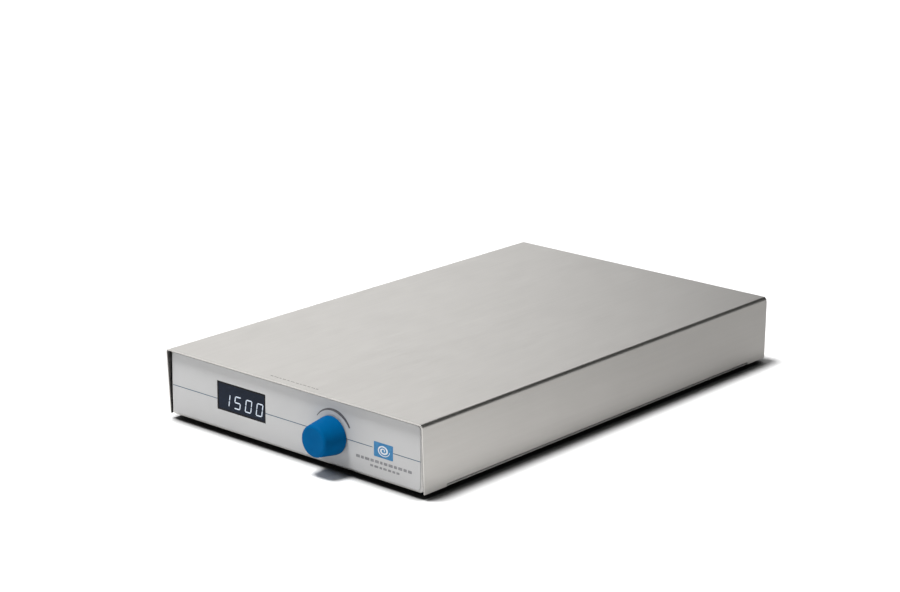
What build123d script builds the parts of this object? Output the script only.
"""Six-position magnetic stirrer, built as separate pieces.

Units are millimetres. X runs to the right along the front, Y to the back and Z up. The pieces are
drawn about the centre of the case, then all moved back by CASE_SHIFT, so that the origin is the centre
of the whole outline, knob and inlet included, on the table plane that the feet stand on.
"""
from build123d import *

import os
from math import acos, cos, sin, sqrt, radians

# ---------------------------------------------------------------- case
WIDTH = 232.0
DEPTH = 382.0
BODY_HEIGHT = 46.5
FOOT_HEIGHT = 4.0
SHEET = 1.0
BEND = 2.3
TRAY_BEND = 1.5
FIT_GAP = 0.3
SIDE_GAP = 0.5
CASE_SHIFT = 6.0

UNDERSIDE = FOOT_HEIGHT
FLOOR_TOP = UNDERSIDE + SHEET
TOP = FOOT_HEIGHT + BODY_HEIGHT
CEILING = TOP - SHEET
FRONT = -DEPTH / 2
BACK = DEPTH / 2
WALL_INSIDE = WIDTH / 2 - SHEET

PANEL_RECESS = 2.6
SIDE_RAKE = 2.5
NOTCH_HALF_LENGTH = 167.5
NOTCH_HEIGHT = 1.8
TAB_HALF = WIDTH / 2 - 0.4

FLANGE_WIDTH = 14.0
LIP_HEIGHT = 9.0
RELIEF_SLIT = 0.8
RELIEF_RADIUS = 1.5

TRAY_HALF = WALL_INSIDE - SIDE_GAP
TRAY_TOP = CEILING - FIT_GAP
PANEL_FACE = FRONT + PANEL_RECESS
PANEL_BACK = PANEL_FACE + SHEET
REAR_FACE = BACK - SHEET
REAR_INSIDE = REAR_FACE - SHEET
PANEL_CORNER = 4.0

VENT_ROWS = (-52.0, -34.0)
VENT_COUNT = 6
VENT_PITCH = 8.0
VENT_WIDTH = 3.0
VENT_LENGTH = 14.0

# ---------------------------------------------------------------- front panel
OVERLAY_THICK = 0.3
OVERLAY_BORDER = 2.0
OVERLAY_CORNER = 3.0
OVERLAY_FACE = PANEL_FACE - OVERLAY_THICK

WINDOW_WIDTH = 45.6
WINDOW_HEIGHT = 20.2
WINDOW_X = -46.3
WINDOW_Z = UNDERSIDE + 24.0
WINDOW_THICK = 1.5
WINDOW_MARGIN = 1.0

MODULE_WIDTH = 43.0
MODULE_HEIGHT = 14.5
MODULE_X = -43.6
MODULE_Z = UNDERSIDE + 22.0

KNOB_X = 37.2
KNOB_Z = UNDERSIDE + 21.0
KNOB_GAP = 0.6
KNOB_LENGTH = 17.5
KNOB_BASE_RADIUS = 13.0
KNOB_FACE_RADIUS = 10.6
KNOB_FOOT = 1.6
KNOB_FOOT_BEVEL = 0.4
KNOB_ROUND = 2.0
KNOB_FACE_WALL = 3.0
KNOB_SKIRT_RADIUS = 9.0
KNOB_SKIRT_DEPTH = 6.2

POT_RADIUS = 8.5
POT_BUSHING_RADIUS = 3.5
POT_BUSHING_LENGTH = 5.2
POT_SHAFT_RADIUS = 3.0
RUNNING_CLEARANCE = 0.05
POT_WALL = (1.5, 1.2)
WIPER_RADIUS = 6.2
WIPER_THICK = 1.2
WIPER_DEPTH = 3.0
NUT_FLATS = 10.0
NUT_THICK = 2.0
WASHER_RADIUS = 6.0
WASHER_THICK = 0.5

BOARD_THICK = 1.6
CONTROL_GAP = 8.5
CONTROL_FRONT = PANEL_BACK + CONTROL_GAP
CONTROL_BACK = CONTROL_FRONT + BOARD_THICK
CONTROL_X = (-86.0, 62.0)
CONTROL_Z = (UNDERSIDE + 5.0, UNDERSIDE + 42.0)
CONTROL_HOLE_INSET = 5.0
# Each part on the back of the board: its X, its Z and how far it stands off.
PROCESSOR = ((-52.0, -38.0), (20.0, 34.0), 1.6)
DRIVER = ((-16.0, -6.0), (18.0, 28.0), 2.4)
POWER_PLUG = ((-36.0, -26.0), (10.0, 16.0), 8.0)
MOTOR_PLUG = ((30.0, 40.0), (10.0, 16.0), 8.0)
COIL_PLACE = (14.0, 24.0)
COIL_RADIUS = 6.0
COIL_HEIGHT = 6.0

# ---------------------------------------------------------------- screws
SCREW_RADIUS = 1.5
SCREW_HEAD_RADIUS = 2.8
SCREW_HEAD = 2.0
SCREW_HEAD_ROUND = 0.5
SCREW_LENGTH = 6.0
LONG_SCREW = 8.0
SCREW_SOCKET_RADIUS = 1.2
SCREW_SOCKET_DEPTH = 1.1
NUT_M3_FLATS = 5.5
NUT_M3_THICK = 2.4
SPACER_RADIUS = 3.0

# ---------------------------------------------------------------- mechanism
ROTOR_X = 55.0
ROTOR_PITCH = 100.0
PLATE_Z = 26.0
PLATE_THICK = 2.0
PLATE_TOP = PLATE_Z + PLATE_THICK
PLATE_HALF_X = WIDTH / 2 - 16.0
PLATE_HALF_Y = DEPTH / 2 - 50.0
PLATE_CORNER = 6.0
CABLE_SLOT = (30.0, 8.0)
PILLAR_X = PLATE_HALF_X - 8.0
PILLAR_ROWS = (-125.0, 0.0, 125.0)
PILLAR_FLATS = 7.0

HOUSING_RADIUS = 9.0
HOUSING_LOW = 13.0
HOUSING_FLANGE_RADIUS = 13.0
HOUSING_FLANGE = 1.5
HOUSING_TOP = PLATE_TOP + HOUSING_FLANGE
BEARING_RADIUS = 6.5
BEARING_WIDTH = 4.0
BALL_GROOVE = (4.2, 5.4)
BALL_GROOVE_DEPTH = 0.4
HOUSING_BORE = 4.2
SHAFT_RADIUS = 3.0
SHAFT_LOW = 11.0
SHAFT_TOP = 44.0
CLIP_RADIUS = 4.6
CLIP_LOW = 11.8
CLIP_THICK = 0.8
SHAFT_CHAMFER = 0.5

BELT_RADIUS = 1.0
GROOVE_RADIUS = BELT_RADIUS + FIT_GAP
BELT_LEVELS = (32.0, 35.0, 38.0)
ROTOR_BELT_RADIUS = 14.0
MOTOR_BELT_RADIUS = 7.0
PULLEY_RIM = 0.6
PULLEY_LOW = 30.0

CARRIER_LOW = 40.0
CARRIER_THICK = 3.0
CARRIER_RADIUS = 29.0
CARRIER_ROUND = 0.8
CARRIER_BOSS_RADIUS = 6.0
CARRIER_BOSS_TOP = 44.6
CUP_X = 18.0
CUP_RADIUS = 9.6
CUP_TOP = 46.6
MAGNET_RADIUS = 8.0
MAGNET_LOW = 41.0
MAGNET_TOP = 46.8
MAGNET_CHAMFER = 0.3

MOTOR_RADIUS = 21.0
MOTOR_LOW = 7.0
MOTOR_ROUND = 1.5
MOTOR_FLOOR = 2.0
MOTOR_LID = 4.5
MOTOR_BORE = 17.6
MOTOR_CORE_RADIUS = 17.0
MOTOR_CORE_Z = (10.0, 20.5)
MOTOR_BOSS_RADIUS = 8.0
MOTOR_SHAFT_RADIUS = 2.5
MOTOR_SHAFT_Z = (7.8, 39.5)
MOTOR_SCREW_CIRCLE = 14.0
MOTOR_PULLEY_TOP = 36.8

# ---------------------------------------------------------------- power supply and rear
POWER_X = 24.0
POWER_Y = (32.0, 142.0)
POWER_Z = 9.0
POWER_TOP = POWER_Z + BOARD_THICK
POWER_HOLE_INSET = 5.0
# Each block on the board: its X, its Y and its height.
TRANSFORMER = ((-14.0, 14.0), (66.0, 92.0), 13.0)
HEAT_SINK = ((-15.0, 15.0), (52.0, 56.0), 12.0)
MAINS_TERMINAL = ((-9.0, 9.0), (132.0, 140.0), 8.0)
OUTPUT_TERMINAL = ((-7.0, 7.0), (34.0, 41.0), 8.0)
CAPACITOR_PLACE = (12.0, 108.0)
CAPACITOR_RADIUS = 6.0
CAPACITOR_HEIGHT = 13.0
CHOKE_Y = 122.0
CHOKE_RADII = (2.5, 6.5)
CHOKE_HEIGHT = 9.0

INLET_X = 66.0
INLET_Z = UNDERSIDE + 20.0
INLET_BODY = (27.0, 31.0)
INLET_DEPTH = 26.0
INLET_FLANGE = (50.0, 33.0)
INLET_FLANGE_THICK = 2.5
INLET_CORNER = 3.0
INLET_CHAMFER = 0.6
INLET_FACE = REAR_FACE + INLET_FLANGE_THICK
INLET_SCREW_X = 20.0
SOCKET_WIDTH = 24.4
SOCKET_HEIGHT = 16.4
SOCKET_DEPTH = 17.0
SOCKET_CHAMFER = 3.5
SOCKET_Z = INLET_Z - 6.2
PIN_SPACING = 7.0
PIN_OFFSET = 2.0
PIN_SIZE = (2.0, 4.0)
PIN_LENGTH = 15.0
PIN_CHAMFER = 0.5
TERMINAL_LENGTH = 7.0
TERMINAL_HALF_THICK = 0.4
TERMINAL_HALF_WIDTH = 2.0

DRAWER_HALF = 11.4
DRAWER_Z = (INLET_Z + 4.8, INLET_Z + 13.0)
DRAWER_DEPTH = 19.0
DRAWER_SLOT_DEPTH = 20.0
DRAWER_WALL = 1.2
DRAWER_SIDE = 0.6
DRAWER_CAP = 1.6
DRAWER_CAP_OVERHANG = (0.8, 0.6)
DRAWER_LIP = (10.0, 1.2, 1.8)
FUSE_RADIUS = 2.6
FUSE_LENGTH = 20.0
FUSE_CAP = 5.0
FUSE_PLAY = 0.2

SWITCH_X = 24.0
SWITCH_Z = INLET_Z
SWITCH_FRAME = (15.0, 23.4)
SWITCH_BODY = (12.8, 21.2)
SWITCH_APERTURE = (11.2, 19.0)
SWITCH_FLANGE = 1.6
SWITCH_DEPTH = 18.0
SWITCH_CAVITY = 12.0
SWITCH_CORNER = 1.2
SWITCH_CHAMFER = 0.5
SWITCH_TERMINAL_Z = 6.0
ROCKER_WIDTH = 10.4
ROCKER_RADIUS = 9.1
ROCKER_TILT = 12.0
ROCKER_CROWN = 2.6
ROCKER_KEEL = 3.0
ROCKER_PIVOT_Y = REAR_FACE - 1.0
ROCKER_PIN_RADIUS = 1.25
ROCKER_PIN_REACH = SWITCH_APERTURE[0] / 2 + 0.3
PIVOT_HOLE_REACH = SWITCH_APERTURE[0] / 2 + 0.5

EARTH_X = 96.0
EARTH_Y = 147.0
RING_RADIUS = 3.4
RING_THICK = 0.8
RING_TONGUE_X = (EARTH_X - 11.0, EARTH_X - 2.5)
RING_TONGUE_HALF = 1.2

WIRE_RADIUS = 0.9
WIRE_BEND = 2.4
CABLE_RADIUS = 1.6
CABLE_BEND = 5.0

# ---------------------------------------------------------------- feet and hood screws
FOOT_X = WIDTH / 2 - 22.0
FOOT_Y = DEPTH / 2 - 25.0
FOOT_RADIUS = 8.0
FOOT_RECESS_RADIUS = 3.6
FOOT_RECESS = 2.2
FOOT_ROUND = 0.8
HOOD_SCREW_X = WIDTH / 2 - FLANGE_WIDTH / 2
HOOD_SCREW_Z = (UNDERSIDE + 9.0, UNDERSIDE + 35.0)

COLUMNS = {"left": -ROTOR_X, "right": ROTOR_X}
ROWS = {"front": -ROTOR_PITCH, "middle": 0.0, "rear": ROTOR_PITCH}
STATIONS = {f"{row}_{column}": (x, y) for row, y in ROWS.items() for column, x in COLUMNS.items()}


# ---------------------------------------------------------------- helpers
# Bodies that cut a hole reach a millimetre or more beyond the faces they cut.
def block(x, y, z):
    """A box between a low and a high limit on each axis."""
    size = Box(x[1] - x[0], y[1] - y[0], z[1] - z[0])
    return Pos((x[0] + x[1]) / 2, (y[0] + y[1]) / 2, (z[0] + z[1]) / 2) * size


def rod(radius, low, high, x=0.0, y=0.0):
    """An upright cylinder between two heights."""
    return Pos(x, y, (low + high) / 2) * Cylinder(radius, high - low)


def rod_y(radius, low, high, x=0.0, z=0.0):
    """A cylinder along Y between two depths."""
    return Pos(x, (low + high) / 2, z) * Rot(90, 0, 0) * Cylinder(radius, high - low)


def rod_x(radius, low, high, y=0.0, z=0.0):
    """A cylinder along X between two widths."""
    return Pos((low + high) / 2, y, z) * Rot(0, 90, 0) * Cylinder(radius, high - low)


def hexagon(flats, low, high, x=0.0, y=0.0):
    """An upright hexagonal bar, measured across its flats."""
    outline = RegularPolygon(flats / 2, 6, major_radius=False)
    return Pos(x, y, low) * extrude(outline, amount=high - low)


def middle(span):
    """The point halfway between two limits."""
    return (span[0] + span[1]) / 2


def group(solids):
    """Separate solids that share one node."""
    return Compound(children=list(solids))


def mirror_x(values):
    """Each place on the right, and its mirror image on the left."""
    return [(side * x, y) for x, y in values for side in (-1, 1)]


def pan_screw(length=SCREW_LENGTH):
    """A socket-head screw whose head stands on the XY plane and whose shank points down."""
    head = rod(SCREW_HEAD_RADIUS, 0, SCREW_HEAD)
    head = fillet(head.edges().group_by(Axis.Z)[-1], SCREW_HEAD_ROUND)
    socket = hexagon(2 * SCREW_SOCKET_RADIUS, SCREW_HEAD - SCREW_SOCKET_DEPTH, SCREW_HEAD + 1)
    return head + rod(SCREW_RADIUS, -length, 0) - socket


def nut_m3(low, x=0.0, y=0.0):
    """An M3 nut standing on a height."""
    body = hexagon(NUT_M3_FLATS, low, low + NUT_M3_THICK, x, y)
    return body - rod(SCREW_RADIUS, low - 1, low + NUT_M3_THICK + 1, x, y)


def tube_along(points, bend, radius):
    """A round wire through points, its corners rounded by tangent arcs."""
    path = FilletPolyline(*points, radius=bend)
    section = Plane(origin=path @ 0, z_dir=path % 0) * Circle(radius)
    return sweep(section, path=path)


# ---------------------------------------------------------------- case
def folded_edges(box):
    """The edges of the hood that are bends: both long top edges and the three rear ones."""
    long_top = box.edges().filter_by(Axis.Y).group_by(Axis.Z)[-1]
    rear_upright = box.edges().filter_by(Axis.Z).group_by(Axis.Y)[-1]
    rear_top = box.edges().filter_by(Axis.X).group_by(Axis.Z)[-1].sort_by(Axis.Y)[-1]
    return [*long_top, *rear_upright, rear_top]


def hood_screw_places():
    """Centres of the screws through the hood's rear flanges, as X and Z."""
    return [(side * HOOD_SCREW_X, z) for side in (-1, 1) for z in HOOD_SCREW_Z]


def make_hood():
    """Folded cover: top, two side walls, two rear flanges and a rear lip."""
    outside = block((-WIDTH / 2, WIDTH / 2), (FRONT, BACK), (UNDERSIDE, TOP))
    outside = fillet(folded_edges(outside), BEND)
    inside = block((-WALL_INSIDE, WALL_INSIDE), (FRONT - 5, BACK - SHEET), (UNDERSIDE - 5, CEILING))
    inside = fillet(folded_edges(inside), BEND - SHEET)
    shell = outside - inside

    flange_edge = WIDTH / 2 - FLANGE_WIDTH
    rear = (REAR_FACE - 1, BACK + 1)
    shell -= block((-flange_edge, flange_edge), rear, (UNDERSIDE - 1, TOP - LIP_HEIGHT))

    # The lip and the flanges are cut free of each other and of the top, as before bending.
    for side in (-1, 1):
        slit_x = sorted((side * flange_edge, side * (flange_edge - RELIEF_SLIT)))
        shell -= block(slit_x, (BACK - BEND, BACK + 1), (TOP - LIP_HEIGHT - 1, TOP + 1))
        gap_x = sorted((side * (flange_edge - RELIEF_SLIT), side * (WIDTH / 2 + 1)))
        shell -= block(gap_x, (BACK - BEND, BACK + 1), (TOP - BEND - RELIEF_SLIT, TOP - BEND))
        corner = side * (WIDTH / 2 - RELIEF_RADIUS / 2)
        shell -= rod(RELIEF_RADIUS, TOP - BEND - RELIEF_SLIT, TOP + 1, corner, BACK - RELIEF_RADIUS / 2)

    # The side walls lean back towards the bottom at the front.
    rake = Plane.YZ * make_face(Polyline(
        (FRONT - 1, UNDERSIDE - 1),
        (FRONT + SIDE_RAKE, UNDERSIDE - 1),
        (FRONT + SIDE_RAKE, UNDERSIDE),
        (FRONT, TOP - BEND),
        (FRONT - 1, TOP - BEND),
        close=True,
    ))
    shell -= extrude(rake, amount=WIDTH, both=True)

    # The lower edges are notched for the tray's floor.
    notch_y = (-NOTCH_HALF_LENGTH, NOTCH_HALF_LENGTH)
    shell -= block((-WIDTH, WIDTH), notch_y, (UNDERSIDE - 1, UNDERSIDE + NOTCH_HEIGHT))
    for x, z in hood_screw_places():
        shell -= rod_y(SCREW_RADIUS, *rear, x, z)
    return shell


def tray_holes():
    """Every upright hole through the tray's floor."""
    places = mirror_x([(FOOT_X, FOOT_Y), (FOOT_X, -FOOT_Y)])
    places += mirror_x([(PILLAR_X, y) for y in PILLAR_ROWS])
    places += power_screw_places()
    places.append((EARTH_X, EARTH_Y))
    return [rod(SCREW_RADIUS, UNDERSIDE - 1, FLOOR_TOP + 1, x, y) for x, y in places]


def make_base_tray():
    """Folded tray: floor, front panel and rear panel, with a tab into each side notch."""
    outside = block((-TRAY_HALF, TRAY_HALF), (PANEL_FACE, REAR_FACE), (UNDERSIDE, TRAY_TOP))
    outside = fillet(outside.edges().filter_by(Axis.X).group_by(Axis.Z)[0], TRAY_BEND)
    rear_sides = outside.edges().filter_by(Axis.Z).group_by(Axis.Y)[-1]
    rear_top = outside.edges().filter_by(Axis.X).group_by(Axis.Z)[-1].sort_by(Axis.Y)[-1]
    outside = chamfer([*rear_sides, rear_top], BEND - SHEET)
    inside = block((-WIDTH, WIDTH), (PANEL_BACK, REAR_INSIDE), (FLOOR_TOP, TOP))
    inside = fillet(inside.edges().filter_by(Axis.X).group_by(Axis.Z)[0], TRAY_BEND - SHEET)
    tray = outside - inside
    tab_end = NOTCH_HALF_LENGTH - 2 * FIT_GAP
    tray += block((-TAB_HALF, TAB_HALF), (-tab_end, tab_end), (UNDERSIDE, FLOOR_TOP))

    # The panel's lower corners are rounded.
    for side in (-1, 1):
        centre = side * (TRAY_HALF - PANEL_CORNER)
        corner_x = sorted((centre, side * (TRAY_HALF + 1)))
        depth = (PANEL_FACE - 1, PANEL_BACK + BEND)
        corner = block(corner_x, depth, (UNDERSIDE - 1, UNDERSIDE + PANEL_CORNER))
        tray -= corner - rod_y(PANEL_CORNER, *depth, centre, UNDERSIDE + PANEL_CORNER)

    margin = 2 * WINDOW_MARGIN
    window = Box(WINDOW_WIDTH + margin, 4 * SHEET, WINDOW_HEIGHT + margin)
    tray -= Pos(WINDOW_X, PANEL_FACE, WINDOW_Z) * window
    tray -= rod_y(POT_BUSHING_RADIUS, PANEL_FACE - 1, PANEL_BACK + 1, KNOB_X, KNOB_Z)
    tray -= Pos(INLET_X, REAR_FACE, INLET_Z) * Box(INLET_BODY[0], 4 * SHEET, INLET_BODY[1])
    tray -= Pos(SWITCH_X, REAR_FACE, SWITCH_Z) * Box(SWITCH_BODY[0], 4 * SHEET, SWITCH_BODY[1])
    rear = (REAR_INSIDE - 1, REAR_FACE + 1)
    for x, z in hood_screw_places() + inlet_screw_places():
        tray -= rod_y(SCREW_RADIUS, *rear, x, z)
    for x in control_screw_columns():
        for z in control_screw_rows():
            tray -= rod_y(SCREW_RADIUS, PANEL_BACK - SHEET / 2, PANEL_BACK + 1, x, z)
    for hole in tray_holes():
        tray -= hole

    slot = extrude(SlotOverall(VENT_LENGTH, VENT_WIDTH, rotation=90), amount=SHEET + 2)
    for row in VENT_ROWS:
        for index in range(VENT_COUNT):
            x = (index - (VENT_COUNT - 1) / 2) * VENT_PITCH
            tray -= Pos(x, row, UNDERSIDE - 1) * slot
    return tray


# ---------------------------------------------------------------- front panel
def make_front_overlay():
    """Printed film on the front panel, with openings for the window and the knob's bushing."""
    low = UNDERSIDE + OVERLAY_BORDER
    high = TRAY_TOP - OVERLAY_BORDER / 2
    half = TRAY_HALF - OVERLAY_BORDER
    film = block((-half, half), (OVERLAY_FACE, PANEL_FACE), (low, high))
    film = fillet(film.edges().filter_by(Axis.Y), OVERLAY_CORNER)
    film -= Pos(WINDOW_X, PANEL_FACE, WINDOW_Z) * Box(WINDOW_WIDTH, 2, WINDOW_HEIGHT)
    return film - rod_y(POT_BUSHING_RADIUS, OVERLAY_FACE - 1, PANEL_FACE + 1, KNOB_X, KNOB_Z)


def make_display_window():
    """Dark filter pane that fills the panel's cut-out behind the film."""
    margin = 2 * WINDOW_MARGIN
    pane = Box(WINDOW_WIDTH + margin, WINDOW_THICK, WINDOW_HEIGHT + margin)
    return Pos(WINDOW_X, PANEL_FACE + WINDOW_THICK / 2, WINDOW_Z) * pane


def make_display_module():
    """Four-digit display block between the window and the control board."""
    low = PANEL_FACE + WINDOW_THICK
    x = (MODULE_X - MODULE_WIDTH / 2, MODULE_X + MODULE_WIDTH / 2)
    z = (MODULE_Z - MODULE_HEIGHT / 2, MODULE_Z + MODULE_HEIGHT / 2)
    return block(x, (low, CONTROL_FRONT), z)


def control_screw_columns():
    """X of the control board's screws."""
    return (CONTROL_X[0] + CONTROL_HOLE_INSET, CONTROL_X[1] - CONTROL_HOLE_INSET)


def control_screw_rows():
    """Z of the control board's screws."""
    return (CONTROL_Z[0] + CONTROL_HOLE_INSET, CONTROL_Z[1] - CONTROL_HOLE_INSET)


def make_control_board():
    """Upright circuit board behind the front panel."""
    board = block(CONTROL_X, (CONTROL_FRONT, CONTROL_BACK), CONTROL_Z)
    for x in control_screw_columns():
        for z in control_screw_rows():
            board -= rod_y(SCREW_RADIUS, CONTROL_FRONT - 1, CONTROL_BACK + 1, x, z)
    return board


def make_control_components():
    """Processor, driver, coil and two connectors on the back of the control board."""
    back = CONTROL_BACK
    parts = [block(x, (back, back + height), z)
             for x, z, height in (PROCESSOR, DRIVER, POWER_PLUG, MOTOR_PLUG)]
    parts.append(rod_y(COIL_RADIUS, back, back + COIL_HEIGHT, *COIL_PLACE))
    return group(parts)


def make_potentiometer():
    """Speed potentiometer: round case behind the panel and a bushing through it."""
    case = rod_y(POT_RADIUS, PANEL_BACK, CONTROL_FRONT, KNOB_X, KNOB_Z)
    bushing_end = OVERLAY_FACE - POT_BUSHING_LENGTH
    case += rod_y(POT_BUSHING_RADIUS, bushing_end, PANEL_BACK, KNOB_X, KNOB_Z)
    chamber = (PANEL_BACK + POT_WALL[0], CONTROL_FRONT - POT_WALL[1])
    case -= rod_y(WIPER_RADIUS + 2 * FIT_GAP, *chamber, KNOB_X, KNOB_Z)
    bore = POT_SHAFT_RADIUS + RUNNING_CLEARANCE
    return case - rod_y(bore, bushing_end - 1, chamber[1], KNOB_X, KNOB_Z)


def make_potentiometer_nut():
    """Washer and hexagon nut that clamp the potentiometer to the panel."""
    washer_front = OVERLAY_FACE - WASHER_THICK
    washer = rod_y(WASHER_RADIUS, washer_front, OVERLAY_FACE, KNOB_X, KNOB_Z)
    nut = Pos(KNOB_X, washer_front, KNOB_Z) * Rot(90, 0, 0) * hexagon(NUT_FLATS, 0, NUT_THICK)
    hole = rod_y(POT_BUSHING_RADIUS, FRONT - 20, PANEL_BACK, KNOB_X, KNOB_Z)
    return group([washer - hole, nut - hole])


def make_potentiometer_shaft():
    """Turning shaft with the wiper disc inside the case."""
    knob_base = OVERLAY_FACE - KNOB_GAP
    wiper_front = PANEL_BACK + WIPER_DEPTH
    shaft_end = knob_base - KNOB_LENGTH + KNOB_FACE_WALL
    shaft = rod_y(POT_SHAFT_RADIUS, shaft_end, wiper_front, KNOB_X, KNOB_Z)
    return shaft + rod_y(WIPER_RADIUS, wiper_front, wiper_front + WIPER_THICK, KNOB_X, KNOB_Z)


def make_speed_knob():
    """Tapered knob, widest at the panel, with a rounded face and a hollow skirt over the nut."""
    base = OVERLAY_FACE - KNOB_GAP
    face = base - KNOB_LENGTH
    outline = make_face(Polyline(
        (0, base),
        (KNOB_BASE_RADIUS - KNOB_FOOT_BEVEL, base),
        (KNOB_BASE_RADIUS, base - KNOB_FOOT_BEVEL),
        (KNOB_BASE_RADIUS, base - KNOB_FOOT),
        (KNOB_FACE_RADIUS, face),
        (0, face),
        close=True,
    ))
    knob = revolve(outline, Axis.Y)
    knob = fillet(knob.edges().group_by(Axis.Y)[0], KNOB_ROUND)
    knob = Pos(KNOB_X, 0, KNOB_Z) * knob
    skirt = rod_y(KNOB_SKIRT_RADIUS, base - KNOB_SKIRT_DEPTH, base + 1, KNOB_X, KNOB_Z)
    bore = rod_y(POT_SHAFT_RADIUS, face + KNOB_FACE_WALL, base, KNOB_X, KNOB_Z)
    return knob - skirt - bore


# ---------------------------------------------------------------- mechanism
def motor_screw_places():
    """Centres of the four screws that hold the motor under the plate."""
    reach = MOTOR_SCREW_CIRCLE / sqrt(2)
    return [(sx * reach, sy * reach) for sx in (-1, 1) for sy in (-1, 1)]


def deck_screw_places():
    """Centres of every screw driven down through the mechanism plate."""
    return mirror_x([(PILLAR_X, y) for y in PILLAR_ROWS]) + motor_screw_places()


def make_mechanism_plate():
    """Flat plate that carries the motor and the six bearing housings."""
    plate = block((-PLATE_HALF_X, PLATE_HALF_X), (-PLATE_HALF_Y, PLATE_HALF_Y), (PLATE_Z, PLATE_TOP))
    plate = fillet(plate.edges().filter_by(Axis.Z), PLATE_CORNER)
    for x, y in STATIONS.values():
        plate -= rod(HOUSING_RADIUS, PLATE_Z - 1, PLATE_TOP + 1, x, y)
    plate -= rod(MOTOR_BOSS_RADIUS, PLATE_Z - 1, PLATE_TOP + 1)
    for x, y in deck_screw_places():
        plate -= rod(SCREW_RADIUS, PLATE_Z - 1, PLATE_TOP + 1, x, y)
    slot = extrude(SlotOverall(*CABLE_SLOT), amount=PLATE_THICK + 2)
    for side in (-1, 1):
        plate -= Pos(side * CABLE_SLOT[0], -PLATE_HALF_Y + 12, PLATE_Z - 1) * slot
    return plate


def make_plate_pillars():
    """Hexagonal pillars between the tray's floor and the plate."""
    pillars = []
    for x, y in mirror_x([(PILLAR_X, y) for y in PILLAR_ROWS]):
        pillar = hexagon(PILLAR_FLATS, FLOOR_TOP, PLATE_Z, x, y)
        pillars.append(pillar - rod(SCREW_RADIUS, FLOOR_TOP - 1, PLATE_Z + 1, x, y))
    return group(pillars)


def make_base_screws():
    """Screws up through the floor into the pillars."""
    places = mirror_x([(PILLAR_X, y) for y in PILLAR_ROWS])
    return group(Pos(x, y, UNDERSIDE) * Rot(180, 0, 0) * pan_screw() for x, y in places)


def make_bearing_housings():
    """Flanged sleeves pressed into the plate, each with a seat for a bearing at both ends."""
    housings = []
    for x, y in STATIONS.values():
        sleeve = rod(HOUSING_RADIUS, HOUSING_LOW, PLATE_TOP, x, y)
        sleeve += rod(HOUSING_FLANGE_RADIUS, PLATE_TOP, HOUSING_TOP, x, y)
        sleeve -= rod(HOUSING_BORE, HOUSING_LOW - 1, HOUSING_TOP + 1, x, y)
        for low in bearing_levels():
            sleeve -= rod(BEARING_RADIUS, low, low + BEARING_WIDTH, x, y)
        housings.append(sleeve)
    return group(housings)


def bearing_levels():
    """Lower faces of the two bearings in a housing."""
    return (HOUSING_LOW, HOUSING_TOP - BEARING_WIDTH)


def make_spindle_bearings():
    """Twelve ball bearings, two in each housing, with a ball groove on each face."""
    bore = SHAFT_RADIUS + RUNNING_CLEARANCE
    bearings = []
    for x, y in STATIONS.values():
        for low in bearing_levels():
            ring = rod(BEARING_RADIUS, low, low + BEARING_WIDTH, x, y)
            ring -= rod(bore, low - 1, low + BEARING_WIDTH + 1, x, y)
            groove_z = (low - 1, low + BALL_GROOVE_DEPTH)
            groove = rod(BALL_GROOVE[1], *groove_z, x, y) - rod(BALL_GROOVE[0], *groove_z, x, y)
            ring -= groove
            ring -= Pos(0, 0, BEARING_WIDTH + 1 - BALL_GROOVE_DEPTH) * groove
            bearings.append(ring)
    return group(bearings)


def grooved_pulley(belt_radius, low, high, levels):
    """A drum with a round groove for a belt at each level."""
    drum = rod(belt_radius + PULLEY_RIM, low, high)
    for level in levels:
        drum -= Pos(0, 0, level) * Torus(belt_radius, GROOVE_RADIUS)
    return drum


def make_rotor_shaft(x, y):
    """Spindle of one stirring position, with its retaining clip under the lower bearing."""
    shaft = rod(SHAFT_RADIUS, SHAFT_LOW, SHAFT_TOP, x, y)
    shaft = chamfer(shaft.edges().group_by(Axis.Z)[0], SHAFT_CHAMFER)
    shaft = chamfer(shaft.edges().group_by(Axis.Z)[-1], SHAFT_CHAMFER)
    clip = rod(CLIP_RADIUS, CLIP_LOW, CLIP_LOW + CLIP_THICK, x, y)
    clip -= rod(SHAFT_RADIUS, CLIP_LOW - 1, CLIP_LOW + 2, x, y)
    return group([shaft, clip])


def make_magnet_carrier(x, y):
    """Pulley with three belt grooves under a disc that holds two magnet cups."""
    carrier = grooved_pulley(ROTOR_BELT_RADIUS, PULLEY_LOW, CARRIER_LOW, BELT_LEVELS)
    disc = rod(CARRIER_RADIUS, CARRIER_LOW, CARRIER_LOW + CARRIER_THICK)
    carrier += fillet(disc.edges().group_by(Axis.Z)[-1], CARRIER_ROUND)
    carrier += rod(CARRIER_BOSS_RADIUS, CARRIER_LOW, CARRIER_BOSS_TOP)
    for side in (-1, 1):
        carrier += rod(CUP_RADIUS, CARRIER_LOW, CUP_TOP, side * CUP_X)
        carrier -= rod(MAGNET_RADIUS, MAGNET_LOW, CUP_TOP + 1, side * CUP_X)
    carrier -= rod(SHAFT_RADIUS, PULLEY_LOW - 1, SHAFT_TOP)
    return Pos(x, y, 0) * carrier


def make_rotor_magnets(x, y):
    """The two disc magnets of one stirring position."""
    magnets = []
    for side in (-1, 1):
        magnet = rod(MAGNET_RADIUS, MAGNET_LOW, MAGNET_TOP, x + side * CUP_X, y)
        magnets.append(chamfer(magnet.edges().group_by(Axis.Z)[-1], MAGNET_CHAMFER))
    return group(magnets)


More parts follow.
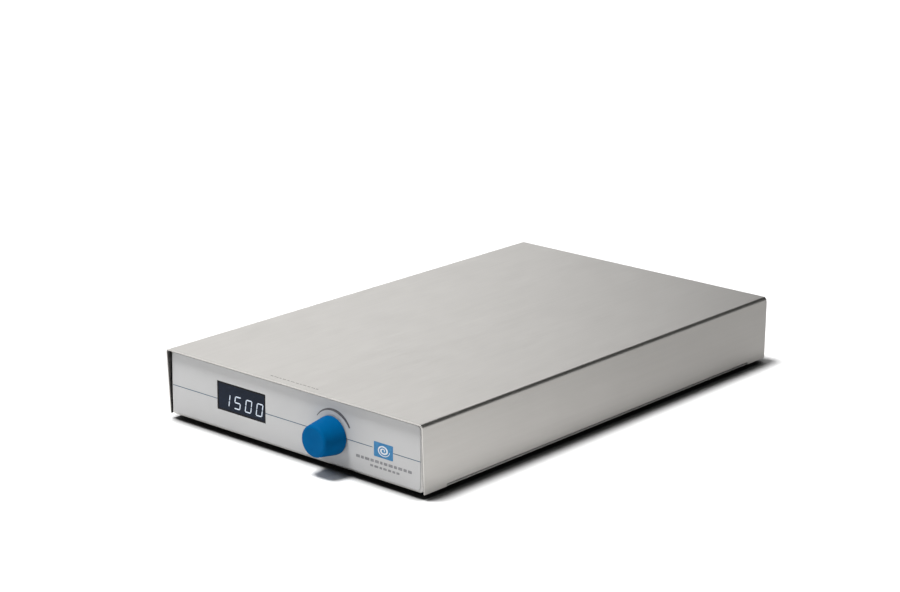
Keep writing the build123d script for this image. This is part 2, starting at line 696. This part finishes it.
def make_motor_housing():
    """Round motor case hung under the plate, hollow for its rotor."""
    case = rod(MOTOR_RADIUS, MOTOR_LOW, PLATE_Z)
    case = fillet(case.edges().group_by(Axis.Z)[0], MOTOR_ROUND)
    case += rod(MOTOR_BOSS_RADIUS, PLATE_Z, PLATE_TOP)
    case -= rod(MOTOR_BORE, MOTOR_LOW + MOTOR_FLOOR, PLATE_Z - MOTOR_LID)
    bore = MOTOR_SHAFT_RADIUS + RUNNING_CLEARANCE
    case -= rod(bore, MOTOR_SHAFT_Z[0] - FIT_GAP, PLATE_TOP + 1)
    for x, y in motor_screw_places():
        case -= rod(SCREW_RADIUS, PLATE_TOP - SCREW_LENGTH, PLATE_TOP + 1, x, y)
    return case


def make_motor_rotor():
    """Rotor core and shaft of the motor."""
    core = rod(MOTOR_CORE_RADIUS, *MOTOR_CORE_Z)
    return core + rod(MOTOR_SHAFT_RADIUS, *MOTOR_SHAFT_Z)


def make_motor_pulley():
    """Small pulley on the motor shaft, with a groove for each column's belt."""
    pulley = grooved_pulley(MOTOR_BELT_RADIUS, PULLEY_LOW, MOTOR_PULLEY_TOP, BELT_LEVELS[:2])
    return pulley - rod(MOTOR_SHAFT_RADIUS, PULLEY_LOW - 1, MOTOR_PULLEY_TOP + 1)


def make_belt(start, start_radius, end, end_radius, level):
    """A round belt around two pulleys, from the tangents common to both."""
    first = Vector(start[0], start[1], level)
    second = Vector(end[0], end[1], level)
    along = (second - first).normalized()
    across = Vector(-along.Y, along.X, 0)
    lean = acos((start_radius - end_radius) / (second - first).length)

    def touch(centre, radius, side):
        return centre + along * (radius * cos(lean)) + across * (side * radius * sin(lean))

    start_left, start_right = touch(first, start_radius, 1), touch(first, start_radius, -1)
    end_left, end_right = touch(second, end_radius, 1), touch(second, end_radius, -1)
    loop = Wire([
        Line(start_left, end_left),
        ThreePointArc(end_left, second + along * end_radius, end_right),
        Line(end_right, start_right),
        ThreePointArc(start_right, first - along * start_radius, start_left),
    ])
    section = Plane(origin=start_left, z_dir=end_left - start_left) * Circle(BELT_RADIUS)
    return sweep(section, path=loop)


def make_belts():
    """Every drive belt by name: two from the motor, then two along each column."""
    low, middle, high = BELT_LEVELS
    motor = (0.0, 0.0)
    belts = {}
    for column, motor_level, front_level in (("left", low, middle), ("right", middle, low)):
        centre = (COLUMNS[column], 0.0)
        belts[f"motor_belt_{column}"] = make_belt(
            motor, MOTOR_BELT_RADIUS, centre, ROTOR_BELT_RADIUS, motor_level)
        for row, level in (("front", front_level), ("rear", high)):
            station = (COLUMNS[column], ROWS[row])
            belts[f"column_belt_{row}_{column}"] = make_belt(
                centre, ROTOR_BELT_RADIUS, station, ROTOR_BELT_RADIUS, level)
    return belts


# ---------------------------------------------------------------- power supply
def power_screw_places():
    """Centres of the power board's screws."""
    x = POWER_X - POWER_HOLE_INSET
    return mirror_x([(x, POWER_Y[0] + POWER_HOLE_INSET), (x, POWER_Y[1] - POWER_HOLE_INSET)])


def make_power_board():
    """Circuit board of the power supply, on spacers over the floor."""
    board = block((-POWER_X, POWER_X), POWER_Y, (POWER_Z, POWER_TOP))
    for x, y in power_screw_places():
        board -= rod(SCREW_RADIUS, POWER_Z - 1, POWER_TOP + 1, x, y)
    return board


def make_power_components():
    """Transformer, two capacitors, choke, heat sink and two terminal blocks."""
    parts = [block(x, y, (POWER_TOP, POWER_TOP + height))
             for x, y, height in (TRANSFORMER, HEAT_SINK, MAINS_TERMINAL, OUTPUT_TERMINAL)]
    for x, y in mirror_x([CAPACITOR_PLACE]):
        parts.append(rod(CAPACITOR_RADIUS, POWER_TOP, POWER_TOP + CAPACITOR_HEIGHT, x, y))
    choke = rod(CHOKE_RADII[1], POWER_TOP, POWER_TOP + CHOKE_HEIGHT, 0, CHOKE_Y)
    parts.append(choke - rod(CHOKE_RADII[0], 0, PLATE_Z, 0, CHOKE_Y))
    return group(parts)


def make_board_spacers():
    """Round spacers of both boards, each with a through hole."""
    spacers = []
    for x, y in power_screw_places():
        spacer = rod(SPACER_RADIUS, FLOOR_TOP, POWER_Z, x, y)
        spacers.append(spacer - rod(SCREW_RADIUS, FLOOR_TOP - 1, POWER_Z + 1, x, y))
    for x in control_screw_columns():
        for z in control_screw_rows():
            spacer = rod_y(SPACER_RADIUS, PANEL_BACK, CONTROL_FRONT, x, z)
            spacers.append(spacer - rod_y(SCREW_RADIUS, PANEL_BACK - 1, CONTROL_FRONT + 1, x, z))
    return group(spacers)


def make_inner_screws():
    """Equal screws of the mechanism plate, the motor and both boards."""
    screws = [Pos(x, y, PLATE_TOP) * pan_screw() for x, y in deck_screw_places()]
    screws += [Pos(x, y, POWER_TOP) * pan_screw() for x, y in power_screw_places()]
    for x in control_screw_columns():
        for z in control_screw_rows():
            screws.append(Pos(x, CONTROL_BACK, z) * Rot(-90, 0, 0) * pan_screw())
    return group(screws)


# ---------------------------------------------------------------- rear panel
def inlet_screw_places():
    """Centres of the inlet's screws, as X and Z."""
    return [(INLET_X + side * INLET_SCREW_X, INLET_Z) for side in (-1, 1)]


def socket_outline():
    """Outline of the inlet's socket: a rectangle with its two lower corners cut off."""
    half_width, half_height = SOCKET_WIDTH / 2, SOCKET_HEIGHT / 2
    return make_face(Polyline(
        (-half_width, half_height),
        (half_width, half_height),
        (half_width, -half_height + SOCKET_CHAMFER),
        (half_width - SOCKET_CHAMFER, -half_height),
        (-half_width + SOCKET_CHAMFER, -half_height),
        (-half_width, -half_height + SOCKET_CHAMFER),
        close=True,
    ))


def make_mains_inlet():
    """Inlet body with its flange, the open socket and the slot for the fuse drawer."""
    flange = Pos(INLET_X, REAR_FACE + INLET_FLANGE_THICK / 2, INLET_Z) * Box(
        INLET_FLANGE[0], INLET_FLANGE_THICK, INLET_FLANGE[1])
    flange = fillet(flange.edges().filter_by(Axis.Y), INLET_CORNER)
    flange = chamfer(flange.faces().sort_by(Axis.Y)[-1].edges(), INLET_CHAMFER)
    body = Pos(INLET_X, REAR_FACE - INLET_DEPTH / 2, INLET_Z) * Box(
        INLET_BODY[0], INLET_DEPTH, INLET_BODY[1])
    inlet = flange + body
    socket = extrude(Plane.XZ * socket_outline(), amount=SOCKET_DEPTH + 1)
    inlet -= Pos(INLET_X, INLET_FACE + 1, SOCKET_Z) * socket
    slot_half = DRAWER_HALF + FIT_GAP
    slot_z = (DRAWER_Z[0] - FIT_GAP, DRAWER_Z[1] + FIT_GAP)
    slot_y = (INLET_FACE - DRAWER_SLOT_DEPTH, INLET_FACE + 1)
    inlet -= block((INLET_X - slot_half, INLET_X + slot_half), slot_y, slot_z)
    for x, z in pin_places():
        inlet -= Pos(x, INLET_FACE - SOCKET_DEPTH, z) * pin_bar()
    for x, z in inlet_screw_places():
        inlet -= rod_y(SCREW_RADIUS, REAR_FACE - 1, INLET_FACE + 1, x, z)
    return inlet


def pin_places():
    """X and Z of the inlet's live, neutral and earth contacts."""
    return [
        (INLET_X - PIN_SPACING, SOCKET_Z - PIN_OFFSET),
        (INLET_X + PIN_SPACING, SOCKET_Z - PIN_OFFSET),
        (INLET_X, SOCKET_Z + PIN_OFFSET),
    ]


def pin_bar():
    """One contact: a blade in the socket and a flat terminal behind the body, from the socket's floor."""
    upright = (-PIN_SIZE[1] / 2, PIN_SIZE[1] / 2)
    blade = block((-PIN_SIZE[0] / 2, PIN_SIZE[0] / 2), (-1, PIN_LENGTH), upright)
    blade = chamfer(blade.faces().sort_by(Axis.Y)[-1].edges(), PIN_CHAMFER)
    behind = INLET_DEPTH + INLET_FLANGE_THICK - SOCKET_DEPTH + TERMINAL_LENGTH
    return blade + block((-TERMINAL_HALF_THICK, TERMINAL_HALF_THICK), (-behind, 0), upright)


def make_inlet_pins():
    """The inlet's live, neutral and earth contacts."""
    floor = INLET_FACE - SOCKET_DEPTH
    return group(Pos(x, floor, z) * pin_bar() for x, z in pin_places())


def make_fuse_drawer():
    """Drawer for the mains fuse: an open tray behind a cap with a finger lip."""
    inner = INLET_FACE - DRAWER_DEPTH
    x = (INLET_X - DRAWER_HALF, INLET_X + DRAWER_HALF)
    drawer = block(x, (inner, INLET_FACE + FIT_GAP), DRAWER_Z)
    hollow_x = (x[0] + DRAWER_SIDE, x[1] - DRAWER_SIDE)
    hollow_y = (inner + DRAWER_WALL, inner + DRAWER_WALL + 2 * (FUSE_RADIUS + FUSE_PLAY))
    drawer -= block(hollow_x, hollow_y, (DRAWER_Z[0] + DRAWER_WALL, DRAWER_Z[1] + 1))
    over_x, over_z = DRAWER_CAP_OVERHANG
    cap_y = (INLET_FACE + FIT_GAP, INLET_FACE + FIT_GAP + DRAWER_CAP)
    cap = block((x[0] - over_x, x[1] + over_x), cap_y, (DRAWER_Z[0] - over_z, DRAWER_Z[1] + over_z))
    cap = fillet(cap.edges().filter_by(Axis.Y), DRAWER_CAP / 2)
    lip_width, lip_depth, lip_height = DRAWER_LIP
    lip_x = (INLET_X - lip_width / 2, INLET_X + lip_width / 2)
    lip = block(lip_x, (cap_y[1], cap_y[1] + lip_depth), (DRAWER_Z[1] - lip_height, DRAWER_Z[1]))
    return drawer + cap + lip


def make_fuse():
    """Glass fuse with a metal cap at each end, lying across the drawer."""
    y = INLET_FACE - DRAWER_DEPTH + DRAWER_WALL + FUSE_RADIUS + FUSE_PLAY
    z = DRAWER_Z[0] + DRAWER_WALL + FUSE_RADIUS
    left, right = INLET_X - FUSE_LENGTH / 2, INLET_X + FUSE_LENGTH / 2
    glass = rod_x(FUSE_RADIUS - FIT_GAP, left + FUSE_CAP, right - FUSE_CAP, y, z)
    caps = [rod_x(FUSE_RADIUS, low, low + FUSE_CAP, y, z) for low in (left, right - FUSE_CAP)]
    return group([glass, *caps])


def make_switch_frame():
    """Snap-in body of the power switch, hollow behind its aperture for the rocker."""
    flange = Pos(SWITCH_X, REAR_FACE + SWITCH_FLANGE / 2, SWITCH_Z) * Box(
        SWITCH_FRAME[0], SWITCH_FLANGE, SWITCH_FRAME[1])
    flange = fillet(flange.edges().filter_by(Axis.Y), SWITCH_CORNER)
    flange = chamfer(flange.faces().sort_by(Axis.Y)[-1].edges(), SWITCH_CHAMFER)
    body = Pos(SWITCH_X, REAR_FACE - SWITCH_DEPTH / 2, SWITCH_Z) * Box(
        SWITCH_BODY[0], SWITCH_DEPTH, SWITCH_BODY[1])
    cavity = (REAR_FACE - SWITCH_CAVITY, REAR_FACE + SWITCH_FLANGE + 1)
    x = (SWITCH_X - SWITCH_APERTURE[0] / 2, SWITCH_X + SWITCH_APERTURE[0] / 2)
    z = (SWITCH_Z - SWITCH_APERTURE[1] / 2, SWITCH_Z + SWITCH_APERTURE[1] / 2)
    frame = flange + body - block(x, cavity, z)
    pivot_x = (SWITCH_X - PIVOT_HOLE_REACH, SWITCH_X + PIVOT_HOLE_REACH)
    frame -= rod_x(ROCKER_PIN_RADIUS + RUNNING_CLEARANCE, *pivot_x, ROCKER_PIVOT_Y, SWITCH_Z)
    terminal_x = (SWITCH_X - TERMINAL_HALF_THICK, SWITCH_X + TERMINAL_HALF_THICK)
    terminal_y = (REAR_FACE - SWITCH_DEPTH - TERMINAL_LENGTH, REAR_FACE - SWITCH_DEPTH)
    pieces = [frame]
    for height in (SWITCH_Z - SWITCH_TERMINAL_Z, SWITCH_Z + SWITCH_TERMINAL_Z):
        terminal_z = (height - TERMINAL_HALF_WIDTH, height + TERMINAL_HALF_WIDTH)
        pieces.append(block(terminal_x, terminal_y, terminal_z))
    return group(pieces)


def make_switch_rocker():
    """Rocker of the power switch, its face a shallow V, shown pressed at its upper end."""
    rise = ROCKER_RADIUS * sin(radians(ROCKER_TILT))
    profile = Plane.YZ * make_face(Polyline(
        (-ROCKER_KEEL, -ROCKER_RADIUS),
        (ROCKER_CROWN + rise, -ROCKER_RADIUS),
        (ROCKER_CROWN, 0),
        (ROCKER_CROWN + rise, ROCKER_RADIUS),
        (-ROCKER_KEEL, ROCKER_RADIUS),
        close=True,
    ))
    rocker = extrude(profile, amount=ROCKER_WIDTH / 2, both=True)
    rocker &= rod_x(ROCKER_RADIUS, -ROCKER_WIDTH, ROCKER_WIDTH)
    rocker += rod_x(ROCKER_PIN_RADIUS, -ROCKER_PIN_REACH, ROCKER_PIN_REACH)
    return Pos(SWITCH_X, ROCKER_PIVOT_Y, SWITCH_Z) * Rot(ROCKER_TILT, 0, 0) * rocker


def make_earth_stud():
    """Protective earth: a stud up through the floor, with a ring terminal and a nut."""
    stud = Pos(EARTH_X, EARTH_Y, UNDERSIDE) * Rot(180, 0, 0) * pan_screw(LONG_SCREW)
    ring_z = (FLOOR_TOP, FLOOR_TOP + RING_THICK)
    tongue_y = (EARTH_Y - RING_TONGUE_HALF, EARTH_Y + RING_TONGUE_HALF)
    ring = rod(RING_RADIUS, *ring_z, EARTH_X, EARTH_Y) + block(RING_TONGUE_X, tongue_y, ring_z)
    ring -= rod(SCREW_RADIUS, FLOOR_TOP - 1, FLOOR_TOP + 2, EARTH_X, EARTH_Y)
    return group([stud, ring, nut_m3(ring_z[1], EARTH_X, EARTH_Y)])


# ---------------------------------------------------------------- wiring
def make_mains_wires():
    """Wires from the inlet to the switch, the power board and the earth stud."""
    terminal_y = REAR_FACE - INLET_DEPTH - TERMINAL_LENGTH
    switch_y = REAR_FACE - SWITCH_DEPTH - TERMINAL_LENGTH
    switch_low, switch_high = SWITCH_Z - SWITCH_TERMINAL_Z, SWITCH_Z + SWITCH_TERMINAL_Z
    (live_x, live_z), (neutral_x, neutral_z), (earth_x, earth_z) = pin_places()
    board_y = MAINS_TERMINAL[1][1]
    board_z = POWER_TOP + MAINS_TERMINAL[2] / 2
    board_left, board_right = -4.0, 4.0
    below = board_z - 6.0
    live_y = terminal_y - 6.0
    neutral_y = terminal_y - 4.0
    from_y = switch_y - 8.0
    to_switch = [(live_x, terminal_y, live_z), (live_x, live_y, live_z),
                 (SWITCH_X, live_y, switch_low), (SWITCH_X, switch_y, switch_low)]
    from_switch = [(SWITCH_X, switch_y, switch_high), (SWITCH_X, from_y, switch_high),
                   (board_left, from_y, board_z), (board_left, board_y, board_z)]
    neutral = [(neutral_x, terminal_y, neutral_z), (neutral_x, neutral_y, neutral_z),
               (neutral_x, neutral_y, below), (board_right, neutral_y, below),
               (board_right, neutral_y, board_z), (board_right, board_y, board_z)]
    crimp = RING_TONGUE_X[0]
    crimp_z = FLOOR_TOP + RING_THICK + WIRE_RADIUS
    drop_y = EARTH_Y - 2.0
    earth = [(earth_x, terminal_y, earth_z), (earth_x, drop_y, earth_z), (earth_x, drop_y, crimp_z),
             (crimp - 9.0, EARTH_Y, crimp_z), (crimp, EARTH_Y, crimp_z)]
    routes = (to_switch, from_switch, neutral, earth)
    return group(tube_along(route, WIRE_BEND, WIRE_RADIUS) for route in routes)


def make_control_cables():
    """Cables from the power board and the motor to the control board, laid along the floor."""
    low = FLOOR_TOP + CABLE_RADIUS + 0.4
    plug_y = CONTROL_BACK + POWER_PLUG[2]
    rise_start, rise_end = plug_y + 16.0, plug_y + 8.0
    power_x, plug_z = middle(POWER_PLUG[0]), middle(POWER_PLUG[1])
    board_y = OUTPUT_TERMINAL[1][0]
    board_z = POWER_TOP + OUTPUT_TERMINAL[2] / 2
    drop_y = board_y - 6.0
    power = [(0, board_y, board_z), (0, drop_y, board_z), (power_x, drop_y, low),
             (power_x, rise_start, low), (power_x, rise_end, plug_z), (power_x, plug_y, plug_z)]
    motor_x = middle(MOTOR_PLUG[0])
    outlet_z = 12.0
    motor = [(MOTOR_RADIUS, 0, outlet_z), (MOTOR_RADIUS + 8, 0, outlet_z), (motor_x, -10, low),
             (motor_x, rise_start, low), (motor_x, rise_end, plug_z), (motor_x, plug_y, plug_z)]
    return group(tube_along(route, CABLE_BEND, CABLE_RADIUS) for route in (power, motor))


# ---------------------------------------------------------------- feet and hood screws
def foot_places():
    """Centres of the four feet."""
    return mirror_x([(FOOT_X, -FOOT_Y), (FOOT_X, FOOT_Y)])


def make_rubber_feet():
    """Four round rubber feet, each recessed for its screw."""
    feet = []
    for x, y in foot_places():
        foot = rod(FOOT_RADIUS, 0, UNDERSIDE, x, y)
        foot = fillet(foot.edges().group_by(Axis.Z)[0], FOOT_ROUND)
        foot -= rod(FOOT_RECESS_RADIUS, -1, FOOT_RECESS, x, y)
        feet.append(foot - rod(SCREW_RADIUS, 0, UNDERSIDE + 1, x, y))
    return group(feet)


def make_feet_screws():
    """Screw up through each foot and the floor, with its nut."""
    pieces = []
    for x, y in foot_places():
        pieces.append(Pos(x, y, FOOT_RECESS) * Rot(180, 0, 0) * pan_screw(LONG_SCREW))
        pieces.append(nut_m3(FLOOR_TOP, x, y))
    return group(pieces)


def make_rear_screws():
    """Equal screws of the hood's rear flanges and of the inlet, with nuts behind the rear panel."""
    places = [(x, BACK, z) for x, z in hood_screw_places()]
    places += [(x, INLET_FACE, z) for x, z in inlet_screw_places()]
    pieces = []
    for x, face, z in places:
        pieces.append(Pos(x, face, z) * Rot(-90, 0, 0) * pan_screw(LONG_SCREW))
        pieces.append(Pos(x, REAR_INSIDE, z) * Rot(90, 0, 0) * nut_m3(0))
    return group(pieces)


# ---------------------------------------------------------------- all nodes
def make_nodes():
    """Every node of the assembly by name."""
    nodes = {
        "hood": make_hood(),
        "base_tray": make_base_tray(),
        "front_overlay": make_front_overlay(),
        "display_window": make_display_window(),
        "display_module": make_display_module(),
        "control_board": make_control_board(),
        "control_components": make_control_components(),
        "potentiometer": make_potentiometer(),
        "potentiometer_nut": make_potentiometer_nut(),
        "potentiometer_shaft": make_potentiometer_shaft(),
        "speed_knob": make_speed_knob(),
        "mechanism_plate": make_mechanism_plate(),
        "plate_pillars": make_plate_pillars(),
        "inner_screws": make_inner_screws(),
        "base_screws": make_base_screws(),
        "bearing_housings": make_bearing_housings(),
        "spindle_bearings": make_spindle_bearings(),
        "motor_housing": make_motor_housing(),
        "motor_rotor": make_motor_rotor(),
        "motor_pulley": make_motor_pulley(),
        "power_board": make_power_board(),
        "power_components": make_power_components(),
        "board_spacers": make_board_spacers(),
        "mains_inlet": make_mains_inlet(),
        "inlet_pins": make_inlet_pins(),
        "fuse_drawer": make_fuse_drawer(),
        "fuse": make_fuse(),
        "switch_frame": make_switch_frame(),
        "switch_rocker": make_switch_rocker(),
        "earth_stud": make_earth_stud(),
        "mains_wires": make_mains_wires(),
        "control_cables": make_control_cables(),
        "rubber_feet": make_rubber_feet(),
        "feet_screws": make_feet_screws(),
        "rear_screws": make_rear_screws(),
    }
    for station, (x, y) in STATIONS.items():
        nodes[f"rotor_shaft_{station}"] = make_rotor_shaft(x, y)
        nodes[f"magnet_carrier_{station}"] = make_magnet_carrier(x, y)
        nodes[f"rotor_magnets_{station}"] = make_rotor_magnets(x, y)
    nodes.update(make_belts())
    return nodes


def placed(shape):
    """A shape's solids, each moved back from the case's own centre to its place about the origin."""
    return Compound([Pos(0, CASE_SHIFT, 0) * solid for solid in shape.solids()])


os.makedirs("parts", exist_ok=True)
for node_name, shape in make_nodes().items():
    export_step(placed(shape), f"parts/{node_name}.step")
